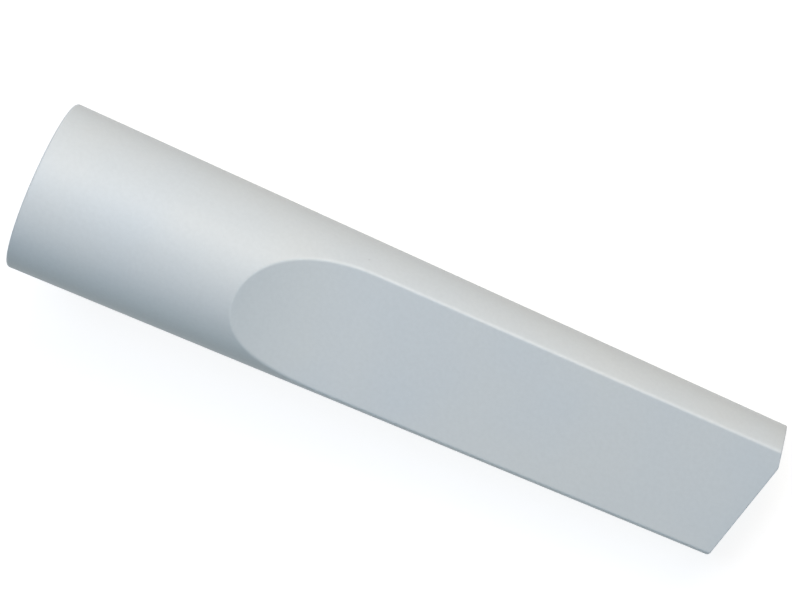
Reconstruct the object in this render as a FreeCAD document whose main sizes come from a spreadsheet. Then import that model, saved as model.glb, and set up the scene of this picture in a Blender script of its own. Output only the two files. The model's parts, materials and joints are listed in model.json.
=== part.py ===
import FreeCAD, Part
import math
import os

import Sketcher

# A push-on crevice tool for a vacuum cleaner, moulded in one piece from pale grey plastic.
# It is a slightly tapered tube. The round socket at one end pushes over a wand or hose end, up to a
# stop shoulder. Two flats, each run in from the tube by a concave arc, squeeze the other end to a
# narrow slot. The mouth is cut to a nose, from whose tip it slopes back below and leans back above.
# X runs along the tool from the socket's rim to the mouth, Y is the slot's height, with the nose on
# the +Y side, and Z is the slot's thickness. The origin is the middle of the socket's rim. The tool
# is pitched mouth down, as it lies at rest: on the tube's belly, where the lower flat starts, and on
# the lower lip.

NODE = "crevice_tool"

# Driving dimensions in millimetres and degrees, with what each one measures
SIZES = [
    ("overall_length", 174.0, "rim to nose"),
    ("socket_bore_dia", 35.1, "bore that takes a 35 mm wand end"),
    ("socket_wall", 2.2, "wall round the bore at the rim"),
    ("socket_depth", 32.0, "rim to the stop shoulder"),
    ("socket_lead_in", 0.45, "bevel at the bore's mouth"),
    ("rim_round", 0.7, "rounding of the rim's outer edge"),
    ("nose_outer_dia", 33.0, "outside of the tube's taper at the nose"),
    ("duct_wall", 2.2, "wall of the tapered and flattened duct"),
    ("shoulder_to_flat", 18.5, "stop shoulder to where the run-in leaves the tube"),
    ("run_in_radius", 50.0, "concave arc from the tube down to the flat"),
    ("mouth_thickness", 17.0, "over the two flats at the nose"),
    ("flat_taper", 1.02, "slope of each flat towards the mouth, in degrees"),
    ("flat_edge_round", 1.1, "rounding along the edges of the flats"),
    ("nose_tip_height", 10.3, "tip of the nose above the axis"),
    ("nose_lean", 11.4, "lean of the mouth's cut above the tip, in degrees"),
    ("mouth_slant", 13.4, "slope of the mouth's cut below the tip, in degrees"),
    ("lip_round", 0.3, "rounding of the mouth's lips"),
]

# Expressions that several features share. The tube is turned half a duct wall longer than the tool, and
# a cut runs one duct wall clear, so that the two never end in the same plane.
RIM_RADIUS = "(Sizes.socket_bore_dia / 2 + Sizes.socket_wall)"
NOSE_RADIUS = "(Sizes.nose_outer_dia / 2)"
HALF_THICKNESS = "(Sizes.mouth_thickness / 2)"
FLAT_START = "(Sizes.socket_depth + Sizes.shoulder_to_flat)"
TURNED_END = "(Sizes.overall_length + Sizes.duct_wall / 2)"
PAST_MOUTH = "(Sizes.overall_length + Sizes.duct_wall)"
PAST_TUBE = f"({RIM_RADIUS} + Sizes.duct_wall)"


def tube_radius(place):
    """Expression for the tapered tube's outer radius at a place along the tool."""
    return f"({RIM_RADIUS} + ({NOSE_RADIUS} - {RIM_RADIUS}) * {place} / Sizes.overall_length)"


# The belly is the tube's underside where the lower flat starts, and the tool tips from it to the lip
BELLY_RADIUS = tube_radius(FLAT_START)
REST_PITCH = f"atan(({BELLY_RADIUS} - {HALF_THICKNESS}) / (Sizes.overall_length - {FLAT_START}))"

# Sketch numbering: an edge's start, end and centre points, and the sketch's own origin
START, END, CENTRE = 1, 2, 3
ORIGIN = (-1, START)


def make_sheet(doc):
    """Write the driving dimensions to a sheet, one alias each, and give the sheet back."""
    sheet = doc.addObject("Spreadsheet::Sheet", "Sizes")
    for row, (alias, value, meaning) in enumerate(SIZES, start=1):
        sheet.set(f"A{row}", meaning)
        sheet.set(f"B{row}", str(value))
        sheet.setAlias(f"B{row}", alias)
    doc.recompute()
    return sheet


def worth(expression):
    """Work out an expression of the sheet's values as a plain number."""
    return float(sheet.evalExpression(expression))


def origin_feature(body, role):
    """Find one of the body's own origin planes by its role."""
    return next(item for item in body.Origin.OriginFeatures if item.Role == role)


def new_sketch(body, name, plane):
    """Start a sketch on one of the body's origin planes."""
    sketch = body.newObject("Sketcher::SketchObject", name)
    sketch.AttachmentSupport = [(origin_feature(body, plane), "")]
    sketch.MapMode = "FlatFace"
    return sketch


def constrain(sketch, kind, *where):
    """Add a constraint that needs no size, such as Coincident or Parallel."""
    sketch.addConstraint(Sketcher.Constraint(kind, *where))


def dimension(sketch, name, kind, where, expression):
    """Add a named sketch dimension and bind it to the sheet."""
    number = sketch.addConstraint(Sketcher.Constraint(kind, *where, worth(expression)))
    sketch.renameConstraint(number, name)
    sketch.setExpression("Constraints." + name, expression)


def add_line(sketch, start, end, guide=False):
    """Draw one straight edge, or a guide line that is not part of the profile."""
    points = [FreeCAD.Vector(x, y, 0) for x, y in (start, end)]
    return sketch.addGeometry(Part.LineSegment(*points), guide)


def add_polygon(sketch, corners):
    """Draw a closed polygon and give its edges, each joined to the next."""
    edges = [add_line(sketch, a, b) for a, b in zip(corners, corners[1:] + corners[:1])]
    for edge, following in zip(edges, edges[1:] + edges[:1]):
        constrain(sketch, "Coincident", edge, END, following, START)
    return edges


def add_tube_side(sketch):
    """Draw the tube's tapered outer side as a guide line, from the rim's edge to the nose."""
    line = add_line(sketch, (0, worth(RIM_RADIUS)), (worth("Sizes.overall_length"), worth(NOSE_RADIUS)), True)
    constrain(sketch, "Vertical", *ORIGIN, line, START)
    dimension(sketch, "rim_radius", "DistanceY", (*ORIGIN, line, START), RIM_RADIUS)
    dimension(sketch, "overall_length", "DistanceX", (*ORIGIN, line, END), "Sizes.overall_length")
    dimension(sketch, "nose_radius", "DistanceY", (*ORIGIN, line, END), NOSE_RADIUS)
    return line


def sketch_tube(body):
    """Half profile of the tapered tube, as if it were solid."""
    sketch = new_sketch(body, "tube_profile", "XY_Plane")
    side = add_tube_side(sketch)
    rim, end_place, end_radius = worth(RIM_RADIUS), worth(TURNED_END), worth(tube_radius(TURNED_END))
    face, top, end, _ = add_polygon(sketch, [(0, 0), (0, rim), (end_place, end_radius), (end_place, 0)])
    constrain(sketch, "Coincident", face, START, *ORIGIN)
    constrain(sketch, "Coincident", top, START, side, START)
    constrain(sketch, "PointOnObject", top, END, side)
    dimension(sketch, "turned_end", "DistanceX", (*ORIGIN, top, END), TURNED_END)
    constrain(sketch, "Vertical", end)
    constrain(sketch, "Horizontal", *ORIGIN, end, END)
    return sketch


def sketch_core(body):
    """Half profile of the hollow: lead-in, bore, stop shoulder, and a taper one wall inside the tube."""
    sketch = new_sketch(body, "core_profile", "XY_Plane")
    side = add_tube_side(sketch)
    bore, lead = worth("Sizes.socket_bore_dia / 2"), worth("Sizes.socket_lead_in")
    depth, past = worth("Sizes.socket_depth"), worth(PAST_MOUTH)
    duct_start = worth(tube_radius("Sizes.socket_depth") + " - Sizes.duct_wall")
    duct_end = worth(tube_radius(PAST_MOUTH) + " - Sizes.duct_wall")
    socket = [(0, 0), (0, bore + lead), (lead, bore), (depth, bore)]
    duct = [(depth, duct_start), (past, duct_end), (past, 0)]
    face, bevel, wall, shoulder, taper, end, _ = add_polygon(sketch, socket + duct)
    constrain(sketch, "Coincident", face, START, *ORIGIN)
    constrain(sketch, "Vertical", face)
    dimension(sketch, "lead_in_depth", "DistanceX", (bevel, START, bevel, END), "Sizes.socket_lead_in")
    dimension(sketch, "lead_in_rise", "DistanceY", (bevel, END, bevel, START), "Sizes.socket_lead_in")
    constrain(sketch, "Horizontal", wall)
    dimension(sketch, "bore_radius", "DistanceY", (*ORIGIN, wall, END), "Sizes.socket_bore_dia / 2")
    dimension(sketch, "socket_depth", "DistanceX", (*ORIGIN, wall, END), "Sizes.socket_depth")
    constrain(sketch, "Vertical", shoulder)
    constrain(sketch, "Parallel", taper, side)
    dimension(sketch, "duct_wall", "Distance", (taper, END, side), "Sizes.duct_wall")
    dimension(sketch, "past_mouth", "DistanceX", (*ORIGIN, taper, END), PAST_MOUTH)
    constrain(sketch, "Vertical", end)
    constrain(sketch, "Horizontal", *ORIGIN, end, END)
    return sketch


def sketch_flat(body, inset):
    """Side view of what is cut away over a flat.

    The flat slopes gently towards the mouth. An arc tangent to it rises to the tube and crosses the
    tube's side where the flat starts. With an inset, flat and arc lie one wall deeper, for the core.
    """
    sketch = new_sketch(body, "flat_profile", "XZ_Plane")
    side = add_tube_side(sketch)
    radius, taper = worth("Sizes.run_in_radius"), math.radians(worth("Sizes.flat_taper"))
    along = FreeCAD.Vector(math.cos(taper), -math.sin(taper), 0)
    outward = FreeCAD.Vector(math.sin(taper), math.cos(taper), 0)

    # The arc's start on the tube, how high that lies over the flat, and the arc's centre
    start = FreeCAD.Vector(worth(FLAT_START), worth(BELLY_RADIUS), 0)
    mouth = FreeCAD.Vector(worth("Sizes.overall_length"), worth(HALF_THICKNESS), 0)
    rise = (start - mouth).dot(outward)
    centre = start + outward * (radius - rise) + along * math.sqrt(rise * (2 * radius - rise))
    past, top = worth(PAST_MOUTH), worth(PAST_TUBE)

    def draw(guide, depth):
        """Draw the flat and its tangent arc, as a guide or as part of the profile."""
        arc_radius = radius + depth
        tangent = centre - outward * arc_radius
        end = tangent + along * ((past - tangent.x) / along.x)
        circle = Part.Circle(centre, FreeCAD.Vector(0, 0, 1), arc_radius)
        first = math.pi + math.asin((centre.y - top) / arc_radius)
        arc = sketch.addGeometry(Part.ArcOfCircle(circle, first, 1.5 * math.pi - taper), guide)
        flat = add_line(sketch, (tangent.x, tangent.y), (end.x, end.y), guide)
        constrain(sketch, "Tangent", arc, END, flat, START)
        ending = "_guide" if guide else ""
        dimension(sketch, "past_tube" + ending, "DistanceY", (*ORIGIN, arc, START), PAST_TUBE)
        dimension(sketch, "past_mouth" + ending, "DistanceX", (*ORIGIN, flat, END), PAST_MOUTH)
        return arc, flat

    arc, flat = draw(guide=inset, depth=0)
    start_point = sketch.addGeometry(Part.Point(start), True)
    constrain(sketch, "PointOnObject", start_point, START, side)
    constrain(sketch, "PointOnObject", start_point, START, arc)
    dimension(sketch, "flat_start", "DistanceX", (*ORIGIN, start_point, START), FLAT_START)
    dimension(sketch, "run_in_radius", "Radius", (arc,), "Sizes.run_in_radius")
    mouth_point = sketch.addGeometry(Part.Point(mouth), True)
    constrain(sketch, "PointOnObject", mouth_point, START, flat)
    dimension(sketch, "mouth_place", "DistanceX", (*ORIGIN, mouth_point, START), "Sizes.overall_length")
    dimension(sketch, "half_thickness", "DistanceY", (*ORIGIN, mouth_point, START), HALF_THICKNESS)
    fall = "Sizes.duct_wall * tan(Sizes.flat_taper * 1 deg)"
    dimension(sketch, "flat_fall", "DistanceY", (flat, END, mouth_point, START), fall)
    if inset:
        outer_arc, outer_flat = arc, flat
        arc, flat = draw(guide=False, depth=worth("Sizes.duct_wall"))
        constrain(sketch, "Coincident", arc, CENTRE, outer_arc, CENTRE)
        constrain(sketch, "Parallel", flat, outer_flat)
        dimension(sketch, "duct_wall", "Distance", (flat, START, outer_flat), "Sizes.duct_wall")

    riser = add_line(sketch, (past, mouth.y), (past, top))
    lid = add_line(sketch, (past, top), (start.x, top))
    constrain(sketch, "Coincident", flat, END, riser, START)
    constrain(sketch, "Coincident", riser, END, lid, START)
    constrain(sketch, "Coincident", lid, END, arc, START)
    constrain(sketch, "Vertical", riser)
    constrain(sketch, "Horizontal", lid)
    return sketch


def sketch_mouth(body):
    """Plan of what is cut off the mouth, beyond the lean above the nose's tip and the slope below it."""
    sketch = new_sketch(body, "mouth_profile", "XY_Plane")
    rise, drop = PAST_TUBE + " - Sizes.nose_tip_height", PAST_TUBE + " + Sizes.nose_tip_height"
    lean_back = f"({rise}) * tan(Sizes.nose_lean * 1 deg)"
    set_back = f"({drop}) * tan(Sizes.mouth_slant * 1 deg)"
    length, tip, past = worth("Sizes.overall_length"), worth("Sizes.nose_tip_height"), worth(PAST_MOUTH)
    high = (length - worth(lean_back), tip + worth(rise))
    low = (length - worth(set_back), tip - worth(drop))
    corners = [high, (length, tip), low, (past, low[1]), (past, high[1])]
    lean, slope, floor, outside, ceiling = add_polygon(sketch, corners)
    dimension(sketch, "overall_length", "DistanceX", (*ORIGIN, slope, START), "Sizes.overall_length")
    dimension(sketch, "nose_tip_height", "DistanceY", (*ORIGIN, slope, START), "Sizes.nose_tip_height")
    dimension(sketch, "rise", "DistanceY", (lean, END, lean, START), rise)
    dimension(sketch, "lean_back", "DistanceX", (lean, START, lean, END), lean_back)
    dimension(sketch, "drop", "DistanceY", (slope, END, slope, START), drop)
    dimension(sketch, "set_back", "DistanceX", (slope, END, slope, START), set_back)
    dimension(sketch, "past_mouth", "DistanceX", (*ORIGIN, floor, END), PAST_MOUTH)
    constrain(sketch, "Horizontal", floor)
    constrain(sketch, "Vertical", outside)
    constrain(sketch, "Horizontal", ceiling)
    return sketch


def new_feature(body, kind, name):
    """Add a turned or cut feature that keeps its faces as cut, since merging them can break a cone's seam."""
    feature = body.newObject("PartDesign::" + kind, name)
    feature.Refine = False
    return feature


def revolve(body, name, sketch):
    """Turn a half profile round the tool's axis."""
    feature = new_feature(body, "Revolution", name)
    feature.Profile = sketch
    feature.ReferenceAxis = (sketch, ["H_Axis"])
    feature.Angle = 360
    return feature


def cut_through(body, name, sketch):
    """Cut a profile right through the body, to both sides of its plane."""
    feature = new_feature(body, "Pocket", name)
    feature.Profile = sketch
    feature.Type = "ThroughAll"
    feature.SideType = "Symmetric"
    return feature


def cut_flats(body, inset):
    """Cut the upper flat with its run-in, and mirror the cut to the underside."""
    upper = cut_through(body, "upper_flat", sketch_flat(body, inset))
    both = new_feature(body, "Mirrored", "both_flats")
    both.Originals = [upper]
    both.MirrorPlane = (origin_feature(body, "XY_Plane"), [""])
    body.Tip = both
    return both


def round_edges(body, name, base, radius, wanted):
    """Round those edges of the base feature that the wanted test picks."""
    body.Document.recompute()
    picked = [f"Edge{n}" for n, edge in enumerate(base.Shape.Edges, start=1) if wanted(base.Shape, edge)]
    feature = body.newObject("PartDesign::Fillet", name)
    feature.Base = (base, picked)
    feature.setExpression("Radius", radius)
    return feature


def along_flat(shape, edge):
    """Pick the long edges where the tube's tapered side meets a flat or its run-in."""
    kinds = {face.Surface.TypeId for face in shape.ancestorsOfType(edge, Part.Face)}
    return "Part::GeomCone" in kinds and len(kinds) == 2 and edge.BoundBox.XLength > worth("Sizes.duct_wall")


def round_rim(shape, edge):
    """Pick the edge round the socket's end."""
    box = edge.BoundBox
    return box.XMax < worth("Sizes.rim_round") and box.YLength > worth("Sizes.socket_bore_dia")


def is_end_face(face):
    """Tell the flat faces that end the wall at the mouth, above and below the nose's tip."""
    is_plane = face.Surface.TypeId == "Part::GeomPlane"
    return is_plane and face.BoundBox.XMin > worth(FLAT_START) and face.normalAt(0, 0).x > math.sqrt(0.5)


def round_mouth(shape, edge):
    """Pick the lips' edges, where an end face meets the outside or the inside of the wall."""
    return [is_end_face(face) for face in shape.ancestorsOfType(edge, Part.Face)].count(True) == 1


def check(doc, bodies):
    """Stop if a feature failed, a shape is broken, or a cut took nothing away."""
    for item in doc.Objects:
        if {"Invalid", "Error"} & set(item.State):
            raise RuntimeError(f"{item.Name} failed: {item.State}")
    for body in bodies:
        if body.Shape.isNull() or not body.Shape.isValid() or len(body.Shape.Solids) != 1:
            raise RuntimeError(f"{body.Label} is not one sound solid")
        solids = [item for item in body.Group if not item.isDerivedFrom("Sketcher::SketchObject")]
        for before, after in zip(solids, solids[1:]):
            if after.Shape.Volume >= before.Shape.Volume:
                raise RuntimeError(f"{after.Name} took nothing away")


doc = FreeCAD.newDocument("CreviceTool")
sheet = make_sheet(doc)

# The hollow, as a solid of its own: socket, stop shoulder and flattened duct
core = doc.addObject("PartDesign::Body", "Core")
revolve(core, "bore_and_taper", sketch_core(core))
cut_flats(core, inset=True)

# The tool: tapered tube, flats with rounded edges, sloped mouth, then the hollow taken out
tool = doc.addObject("PartDesign::Body", "Tool")
tool.Label = NODE
revolve(tool, "tapered_tube", sketch_tube(tool))
flats = cut_flats(tool, inset=False)
round_edges(tool, "flat_edges", flats, "Sizes.flat_edge_round", along_flat)
mouth = cut_through(tool, "mouth", sketch_mouth(tool))
round_edges(tool, "rim_edge", mouth, "min(Sizes.rim_round; Sizes.socket_wall / 3)", round_rim)
hollow = tool.newObject("PartDesign::Boolean", "hollow")
hollow.Type = "Cut"
hollow.addObjects([core])
tool.Tip = hollow
tool.Tip = round_edges(tool, "lip_edges", hollow, "min(Sizes.lip_round; Sizes.duct_wall / 4)", round_mouth)

# At rest the mouth points down by the slope from the belly to the lower lip
tool.Placement = FreeCAD.Placement(FreeCAD.Vector(), FreeCAD.Rotation(FreeCAD.Vector(0, 1, 0), 1))
tool.setExpression("Placement.Rotation.Angle", REST_PITCH)
doc.recompute()

check(doc, [core, tool])
os.makedirs("parts", exist_ok=True)
tool.Shape.exportStep(os.path.join("parts", NODE + ".step"))
print(f"{NODE}: {tool.Shape.Volume:.1f} cubic mm, pitched {worth(REST_PITCH):.3f} degrees")
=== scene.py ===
import json
import math

import bpy
import numpy as np
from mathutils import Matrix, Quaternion, Vector


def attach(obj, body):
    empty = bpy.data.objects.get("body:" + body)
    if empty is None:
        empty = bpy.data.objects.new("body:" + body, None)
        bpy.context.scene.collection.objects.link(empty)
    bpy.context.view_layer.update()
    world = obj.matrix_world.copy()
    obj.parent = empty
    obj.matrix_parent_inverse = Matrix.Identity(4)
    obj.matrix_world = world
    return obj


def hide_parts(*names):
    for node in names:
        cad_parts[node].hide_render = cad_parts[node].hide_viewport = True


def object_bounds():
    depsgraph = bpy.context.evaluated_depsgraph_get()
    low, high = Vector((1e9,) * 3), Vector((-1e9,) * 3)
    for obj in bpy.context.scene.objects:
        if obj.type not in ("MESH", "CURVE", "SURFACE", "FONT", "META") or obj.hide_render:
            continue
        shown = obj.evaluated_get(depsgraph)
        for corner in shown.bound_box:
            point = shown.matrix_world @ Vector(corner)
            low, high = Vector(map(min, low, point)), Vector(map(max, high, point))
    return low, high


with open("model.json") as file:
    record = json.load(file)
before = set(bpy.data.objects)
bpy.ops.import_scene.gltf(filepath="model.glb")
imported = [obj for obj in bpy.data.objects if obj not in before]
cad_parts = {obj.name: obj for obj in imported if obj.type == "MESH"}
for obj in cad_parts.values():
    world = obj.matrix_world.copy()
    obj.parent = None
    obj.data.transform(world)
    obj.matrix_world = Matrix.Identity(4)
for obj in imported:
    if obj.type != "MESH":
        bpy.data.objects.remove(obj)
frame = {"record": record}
cad_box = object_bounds()

# The crevice tool: one hollow moulding in pale grey plastic with a fine satin texture. A round socket
# pushes over the wand, and two flats squeeze the tapered tube to a slot with a sloped mouth. It comes
# off its core in one piece, so one closed skin runs along the outside and back through the inside.
socket = frame["record"]["mounts"][0]
bore_radius = socket["dims"]["r_mm"] / 1000
rest_pitch = math.atan2(socket["axis"][2], -socket["axis"][0])

# The tapered tube and its socket, in metres, with places along the tool measured from the socket's rim
tool_length = 0.174
socket_depth = 0.032
socket_wall = 0.0022
lead_in = 0.00045
rim_round = 0.0007
duct_wall = 0.0022
nose_radius = 0.0165
rim_radius = bore_radius + socket_wall
tube_taper = math.atan((rim_radius - nose_radius) / tool_length)

# The flats, each run in from the tube by an arc
flat_start = 0.0505
run_in_radius = 0.050
nose_half_thickness = 0.0085
flat_taper = math.radians(1.02)
flat_edge_round = 0.0011
duct_edge_round = 0.0004

# The mouth, cut back below and above the nose's tip, and where the rings start to bend back with it
nose_tip_height = 0.0103
nose_tip_round = 0.0002
nose_lean = math.radians(11.4)
mouth_slant = math.radians(13.4)
lip_round = 0.0003
lean_start = 0.110


def tube_radius(along):
    """Outer radius of the tapered tube: a straight fall from the rim to the nose."""
    return rim_radius + (nose_radius - rim_radius) * along / tool_length


# The run-in arc leaves the tube where the flat starts, and its other end is tangent to the flat
flat_rise = (tube_radius(flat_start) - nose_half_thickness) * math.cos(flat_taper)
flat_rise -= (tool_length - flat_start) * math.sin(flat_taper)
arc_reach = math.sqrt(flat_rise * (2 * run_in_radius - flat_rise))
arc_lift = run_in_radius - flat_rise
arc_along = flat_start + arc_lift * math.sin(flat_taper) + arc_reach * math.cos(flat_taper)
arc_height = tube_radius(flat_start) + arc_lift * math.cos(flat_taper) - arc_reach * math.sin(flat_taper)
run_in_end = arc_along - run_in_radius * math.sin(flat_taper)


def flat_height(along, depth):
    """Height of the flat over the tool's axis, at a depth below the outside.

    Before the tangent point it is the lower half of the run-in circle, whose radius grows by the depth.
    After it, it is a line that falls by the flat's taper and passes the nose one depth lower.
    """
    radius = run_in_radius + depth
    under_arc = np.sqrt(np.maximum(radius**2 - (along - arc_along) ** 2, 0))
    sloped = nose_half_thickness + (tool_length - along) * math.tan(flat_taper) - depth / math.cos(flat_taper)
    return np.where(along < arc_along - radius * math.sin(flat_taper), arc_height - under_arc, sloped)


def flat_steepness(along, depth):
    """Angle at which the flat falls along the tool.

    Its sine is the distance to the run-in circle's centre, along the tool, over that circle's radius. Past
    the tangent point it stays the flat's taper, and far out on the tube it stays short of upright.
    """
    steepest_sine = 0.9
    run_in_sine = (arc_along - along) / (run_in_radius + depth)
    return np.arcsin(np.clip(run_in_sine, math.sin(flat_taper), steepest_sine))


def edge_blend(along, depth, radius, edge_round):
    """Height over which the tube and the flat ease into each other, so that their edge has a set radius.

    The tube falls sideways there by the angle whose cosine is the flat's height over the tube's radius,
    and the flat falls along the tool by its steepness. The product of the two cosines is the cosine of
    the edge's turn. The blend is half the radius, times the sine of the turn, times the slopes' length.
    """
    steepness = flat_steepness(along, depth)
    sideways = np.arccos(np.minimum(flat_height(along, depth) / radius, 1))
    turn_cosine = np.cos(steepness) * np.cos(sideways)
    return edge_round / 2 * np.sqrt(1 - turn_cosine**2) * np.hypot(np.tan(steepness), np.tan(sideways))


def moulding_skin(along, depth, around, edge_round):
    """Points of the skin on rings, each at a distance along the tool and a depth below its outside.

    With them comes each point's nearness to an edge of the flats, up to 1 on the edge itself.
    A ring is a circle on the tapered tube, less its depth. Its height is the lesser of the circle's and
    the flat's, and the two ease into each other by a parabola where they lie within the edge's blend.
    Towards the mouth, a ring bends back from the nose's tip, by the mouth's slope below it and by the
    nose's lean above it. All of it is then pitched about the socket's rim, as the tool lies at rest.
    """
    below_tip = nose_tip_height - (nose_radius - depth) * np.sin(around)
    from_tip = np.hypot(below_tip, nose_tip_round)
    set_back = (from_tip + below_tip) / 2 * math.tan(mouth_slant)
    set_back += (from_tip - below_tip) / 2 * math.tan(nose_lean)
    along = along - set_back * np.clip((along - lean_start) / (tool_length - lean_start), 0, 1)

    radius = tube_radius(along) - depth / math.cos(tube_taper)
    across = radius * np.sin(around)
    circle = radius * np.abs(np.cos(around))
    flat = flat_height(along, depth)
    blend = edge_blend(along, depth, radius, edge_round)
    nearness = np.clip(1 - np.abs(circle - flat) / blend, 0, 1)
    height = (np.minimum(circle, flat) - blend / 4 * nearness**2) * np.sign(np.cos(around))

    x = along * math.cos(rest_pitch) + height * math.sin(rest_pitch)
    z = height * math.cos(rest_pitch) - along * math.sin(rest_pitch)
    return np.stack([x, across, z], axis=-1), nearness


def stations(*stretches):
    """Places along the tool, evenly spaced on each stretch, which has a start, an end and a count."""
    return np.concatenate([np.linspace(start, end, count, endpoint=False) for start, end, count in stretches])


def bore_depth(along):
    """Depth of the straight bore below the tapered outside: the gap between them, square to the outside."""
    return (tube_radius(along) - bore_radius) * math.cos(tube_taper)


# Rings lie closest where the run-in leaves the tube, close on the rest of it, and wide on plain stretches
tube_margin = 0.0015
steep_stretch = 0.0065
flat_margin = 0.002
run_in_first = flat_start - tube_margin
run_in_steep = flat_start + steep_stretch
run_in_last = run_in_end + flat_margin
outside = stations(
    (rim_round, run_in_first, 14),
    (run_in_first, run_in_steep, 48),
    (run_in_steep, run_in_last, 60),
    (run_in_last, tool_length - lip_round, 24),
)[1:]
duct = stations(
    (tool_length - lip_round, run_in_last, 20),
    (run_in_last, run_in_steep, 24),
    (run_in_steep, run_in_first, 16),
    (run_in_first, socket_depth, 6),
)[1:]
bore = np.linspace(socket_depth, lead_in, 8)

# Over the quarter turn of a rounding, one share grows from 0 to 1 and the other shrinks from 1 to 0
round_steps = 7
quarter = np.linspace(0, math.pi / 2, round_steps)
growing = 1 - np.cos(quarter)
shrinking = 1 - np.sin(quarter)

# Rings in the skin's order, each row with places along the tool and depths below its outside: the rim's
# rounding, outside, outer lip, inner lip, duct, foot of the stop shoulder, bore and lead-in bevel
profile = [
    (rim_round * growing, rim_round * shrinking),
    (outside, 0 * outside),
    (tool_length - lip_round * shrinking, lip_round * growing),
    (tool_length - lip_round * growing, duct_wall - lip_round * shrinking),
    (duct, duct_wall + 0 * duct),
    (np.array([socket_depth]), np.array([duct_wall])),
    (bore, bore_depth(bore)),
    (np.array([0]), bore_depth(np.array([0])) - lead_in),
]
ring_along, ring_depth = (np.concatenate(column)[:, None] for column in zip(*profile))
ring_outside = ring_depth < duct_wall / 2
ring_edge_round = np.where(ring_outside, flat_edge_round, duct_edge_round)
points_around = 384
around = np.linspace(0, 2 * math.pi, points_around, endpoint=False)[None, :]
skin, edge_nearness = moulding_skin(ring_along, ring_depth, around, ring_edge_round)

# Each face joins two rings and two places on them, and both directions close on themselves
point_numbers = np.arange(edge_nearness.size).reshape(edge_nearness.shape)
next_ring = np.roll(point_numbers, -1, axis=0)
corners = [point_numbers, next_ring, np.roll(next_ring, -1, axis=1), np.roll(point_numbers, -1, axis=1)]
faces = np.stack(corners, axis=-1).reshape(-1, 4)

crease_angle = math.radians(40)
tool_mesh = bpy.data.meshes.new("crevice_tool_skin")
tool_mesh.from_pydata(skin.reshape(-1, 3).tolist(), [], faces.tolist())
tool_mesh.shade_smooth()
tool_mesh.set_sharp_from_angle(angle=crease_angle)
# Nearness to the flats' outer edges: it carries their painted highlight and their rub
rubbed_and_highlit_edge = tool_mesh.attributes.new("rubbed_and_highlit_edge", "FLOAT", "POINT")
rubbed_and_highlit_edge.data.foreach_set("value", (edge_nearness * ring_outside).ravel())
tool = bpy.data.objects.new("crevice_tool_skin", tool_mesh)
bpy.context.scene.collection.objects.link(tool)


def add_node(tree, kind, inputs, **settings):
    """Add a shader node with its settings, and fill the named inputs with sockets, numbers or colours."""
    node = tree.nodes.new("ShaderNode" + kind)
    for name, value in settings.items():
        setattr(node, name, value)
    for name, value in inputs.items():
        if isinstance(value, bpy.types.NodeSocket):
            tree.links.new(value, node.inputs[name])
        else:
            node.inputs[name].default_value = value
    return node


def unevenness(tree, places, scale):
    """Socket of a soft noise from 0 to 1, with about that many blots to a metre and two finer layers."""
    return add_node(tree, "TexNoise", {"Vector": places, "Scale": scale, "Detail": 2}).outputs["Fac"]


def ranged(tree, value, low, high, start=0, end=1, **settings):
    """Socket of a value carried over: low at its start, high at its end, in proportion between them."""
    inputs = {"Value": value, "From Min": start, "From Max": end, "To Min": low, "To Max": high}
    return add_node(tree, "MapRange", inputs, **settings).outputs["Result"]


def combined(tree, operation, first, second):
    """Socket of two values put together by one operation, such as their product or the greater one."""
    return add_node(tree, "Math", {0: first, 1: second}, operation=operation).outputs["Value"]


plastic = bpy.data.materials.new("grey_plastic")
plastic.use_nodes = True
plastic_tree = plastic.node_tree
places = add_node(plastic_tree, "TexCoord", {}).outputs["Object"]

# The plastic's colour drifts between two near tones
cool_grey = (0.588, 0.626, 0.648, 1)
warm_grey = (0.612, 0.638, 0.642, 1)
drift_scale = 26
drift_range = (0.35, 0.65)
tone = add_node(plastic_tree, "ValToRGB", {"Fac": unevenness(plastic_tree, places, drift_scale)})
for step, position, grey in zip(tone.color_ramp.elements, drift_range, (cool_grey, warm_grey)):
    step.position = position
    step.color = grey

# Its lightness has a faint mottle and one small dark speck
mottle_scale = 1100
mottle_range = (0.3, 0.7)
mottle_share = 0.015
mottle_noise = unevenness(plastic_tree, places, mottle_scale)
mottle = ranged(plastic_tree, mottle_noise, 1 - mottle_share, 1 + mottle_share, *mottle_range)
speck_place = (0.0744, 0.0168, 0.0012)
speck_radius = 0.0004
speck_share = 0.14
from_speck = add_node(plastic_tree, "VectorMath", {0: places, 1: speck_place}, operation="DISTANCE")
speck = ranged(
    plastic_tree,
    from_speck.outputs["Value"],
    low=1 - speck_share,
    high=1,
    end=speck_radius,
    interpolation_type="SMOOTHSTEP",
)
moulded_lightness = combined(plastic_tree, "MULTIPLY", mottle, speck)

# Along the outer edges of the flats, in uneven spots, a painted highlight makes the colour a little lighter,
# and handling has rubbed them a little smoother
spot_scale = 700
spot_range = (0.35, 0.65)
least_rub_and_highlight = 0.5
painted_highlight_share = 0.08
rub_smoothing = 0.25
edge = add_node(plastic_tree, "Attribute", {}, attribute_name="rubbed_and_highlit_edge").outputs["Fac"]
spots = ranged(plastic_tree, unevenness(plastic_tree, places, spot_scale), least_rub_and_highlight, 1, *spot_range)
rub_and_highlight = combined(plastic_tree, "MULTIPLY", edge, spots)
# Painted highlight: the colour grows lighter along the flats' outer edges
painted_highlight_lightness = ranged(plastic_tree, rub_and_highlight, 1, 1 + painted_highlight_share)
rub_roughness = ranged(plastic_tree, rub_and_highlight, 1, 1 - rub_smoothing)
lightness = combined(plastic_tree, "MULTIPLY", moulded_lightness, painted_highlight_lightness)
plastic_colour = add_node(plastic_tree, "HueSaturation", {"Color": tone.outputs["Color"], "Value": lightness})

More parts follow.
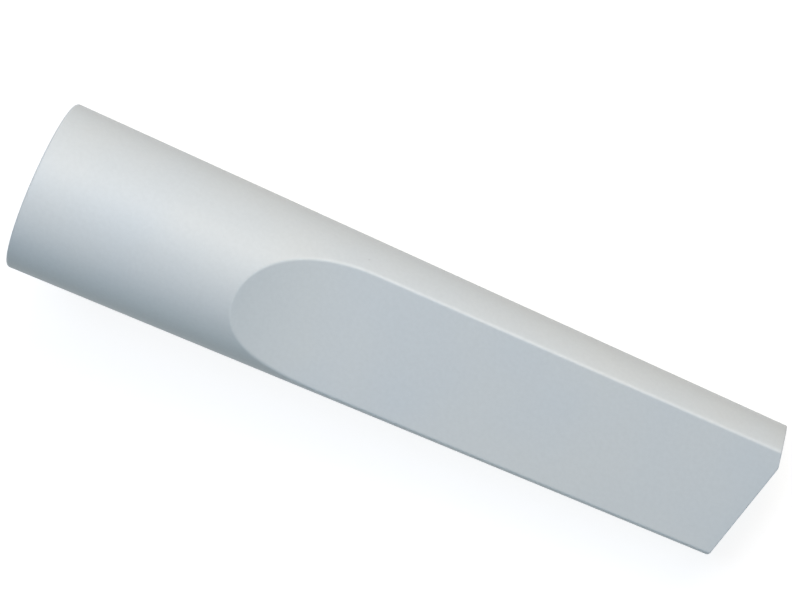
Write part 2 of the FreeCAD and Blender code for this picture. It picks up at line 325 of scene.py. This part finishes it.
# The mould's fine spark-eroded grain, as an uneven gloss and as bump
grain_scale = 2400
grain_strength = 0.4
grain_depth = 0.00002
roughness_range = (0.44, 0.56)
grain = unevenness(plastic_tree, places, grain_scale)
moulded_roughness = ranged(plastic_tree, grain, *roughness_range)
roughness = combined(plastic_tree, "MULTIPLY", moulded_roughness, rub_roughness)
bump_inputs = {"Height": grain, "Strength": grain_strength, "Distance": grain_depth}
bump = add_node(plastic_tree, "Bump", bump_inputs)

shader = plastic_tree.nodes["Principled BSDF"]
shader.inputs["Specular IOR Level"].default_value = 0.3
plastic_tree.links.new(plastic_colour.outputs["Color"], shader.inputs["Base Color"])
plastic_tree.links.new(roughness, shader.inputs["Roughness"])
plastic_tree.links.new(bump.outputs["Normal"], shader.inputs["Normal"])
tool_mesh.materials.append(plastic)

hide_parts("crevice_tool")
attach(tool, "root")

# The floor: a plain pale surface that the tool lies on, level with the tool's lowest point. To the camera
# and in reflections it is white, by a plain glow added to its own colour, and it keeps a faint shadow.
floor_half = 3.0
floor_colour = (0.30, 0.30, 0.30, 1)
floor_glow = 0.86
floor_mesh = bpy.data.meshes.new("floor")
floor_corners = np.array([(-1, -1), (1, -1), (1, 1), (-1, 1)]) * floor_half
floor_points = np.column_stack([floor_corners, np.full(len(floor_corners), cad_box[0].z)])
floor_mesh.from_pydata(floor_points.tolist(), [], [(0, 1, 2, 3)])
floor = bpy.data.objects.new("floor", floor_mesh)
bpy.context.scene.collection.objects.link(floor)


def seen_directly(tree):
    """Socket that is 1 where the camera, a reflection or a view through glass sees the surface, else 0."""
    path = add_node(tree, "LightPath", {}).outputs
    mirrored = combined(tree, "MAXIMUM", path["Is Glossy Ray"], path["Is Transmission Ray"])
    return combined(tree, "MAXIMUM", path["Is Camera Ray"], mirrored)


paper = bpy.data.materials.new("floor")
paper.use_nodes = True
paper_tree = paper.node_tree
paper_tree.nodes.remove(paper_tree.nodes["Principled BSDF"])
matt = add_node(paper_tree, "BsdfDiffuse", {"Color": floor_colour})
glow_strength = combined(paper_tree, "MULTIPLY", seen_directly(paper_tree), floor_glow)
glow = add_node(paper_tree, "Emission", {"Strength": glow_strength})
both = add_node(paper_tree, "AddShader", {0: matt.outputs["BSDF"], 1: glow.outputs["Emission"]})
paper_tree.links.new(both.outputs["Shader"], paper_tree.nodes["Material Output"].inputs["Surface"])
floor_mesh.materials.append(paper)

# Soft studio light: a wide key above the socket, a warmer panel on the nose's side, a small cool fill
# beyond the mouth and a weak low panel on the other side, each turned to the tool's middle. A row gives
# the panel's place and width in metres, its power in watts and its colour.
tool_middle = (cad_box[0] + cad_box[1]) / 2
lights = {
    "key": ((-0.22, 0.40, 0.70), 0.6, 4.6, (0.72, 0.84, 1.0)),
    "side": ((0.08, 1.03, 0.78), 0.7, 10.6, (1.0, 0.85, 0.67)),
    "fill": ((1.36, -0.16, 0.20), 0.3, 4.1, (0.62, 0.82, 1.0)),
    "low": ((0.09, -0.90, 0.08), 0.3, 1.2, (0.90, 1.0, 0.92)),
}
for name, (place, width, power, tint) in lights.items():
    lamp = bpy.data.lights.new(name, "AREA")
    lamp.shape = "DISK"
    lamp.size = width
    lamp.energy = power
    lamp.color = tint
    holder = bpy.data.objects.new(name, lamp)
    holder.location = Vector(place)
    holder.rotation_mode = "QUATERNION"
    holder.rotation_quaternion = (Vector(place) - tool_middle).to_track_quat("Z", "Y")
    bpy.context.scene.collection.objects.link(holder)

# The room: it lights the tool from all round with a dim and slightly cool light, and it is white where
# the camera or a reflection sees it, as the floor is
room_colour = (0.085, 0.110, 0.135, 1)
white = (1, 1, 1, 1)
room = bpy.data.worlds.new("room")
room.use_nodes = True
room_tree = room.node_tree
room_inputs = {"Fac": seen_directly(room_tree), "Color1": room_colour, "Color2": white}
room_mix = add_node(room_tree, "MixRGB", room_inputs)
room_tree.links.new(room_mix.outputs["Color"], room_tree.nodes["Background"].inputs["Color"])
bpy.context.scene.world = room
bpy.context.scene.view_settings.view_transform = "Standard"

# The camera: it looks down on the tool from the nose's side, with a long lens, turned so that the tool
# runs from upper left to lower right
camera_aim = Vector((0.08267, 0.00590, -0.00880))
camera_azimuth = math.radians(160.876)
camera_elevation = math.radians(69.762)
camera_roll = math.radians(-137.002)
camera_distance = 0.8147
camera = bpy.data.cameras.new("camera")
camera.lens = 166.95
camera.sensor_width = 36
level_part = Vector((math.sin(camera_azimuth), -math.cos(camera_azimuth), 0)) * math.cos(camera_elevation)
towards_camera = level_part + Vector((0, 0, math.sin(camera_elevation)))
roll = Quaternion((0, 0, 1), camera_roll)
camera_holder = bpy.data.objects.new("camera", camera)
camera_holder.location = camera_aim + towards_camera * camera_distance
camera_holder.rotation_mode = "QUATERNION"
camera_holder.rotation_quaternion = towards_camera.to_track_quat("Z", "Y") @ roll
bpy.context.scene.collection.objects.link(camera_holder)
bpy.context.scene.camera = camera_holder
